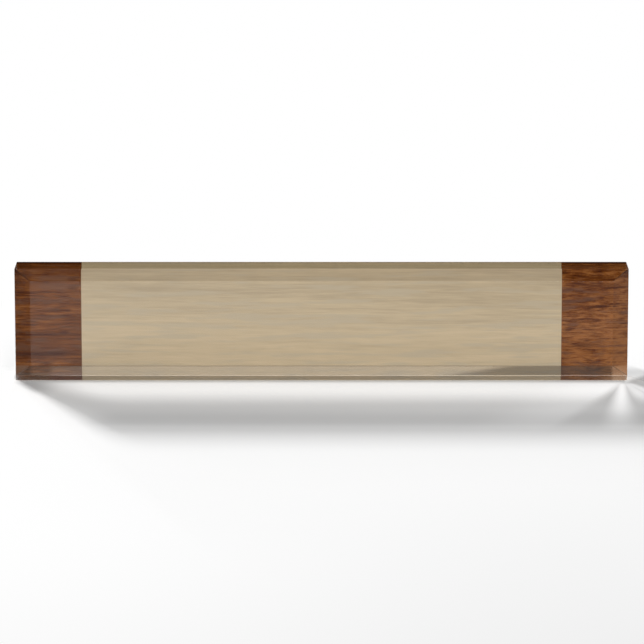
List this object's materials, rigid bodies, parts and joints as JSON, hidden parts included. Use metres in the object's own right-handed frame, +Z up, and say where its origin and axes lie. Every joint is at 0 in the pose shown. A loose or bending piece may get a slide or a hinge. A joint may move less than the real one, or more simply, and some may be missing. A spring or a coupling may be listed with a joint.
{
  "type": "desk name plate",
  "caption": "Free-standing clear block name plate with a bevelled front, a wood-grain print on its back and a bare pale panel for a name.",
  "frame": {"origin": "middle of the foot of the whole plate, on the table", "axes": "+X along the plate, to the right seen from the front; +Y from the front to the back; +Z up"},
  "size_m": [0.268, 0.019, 0.0504],
  "materials": {
    "clear_acrylic": "clear, polished on every face",
    "brown_wood_print": "printed brown wood grain",
    "pale_panel_print": "printed pale tan with faint grain",
    "white_coat": "satin white coat"
  },
  "bodies": {
    "root": {"clear_block": "clear_acrylic", "wood_print_left": "brown_wood_print", "wood_print_right": "brown_wood_print", "name_panel_print": "pale_panel_print", "white_backing": "white_coat"}
  },
  "joints": []
}
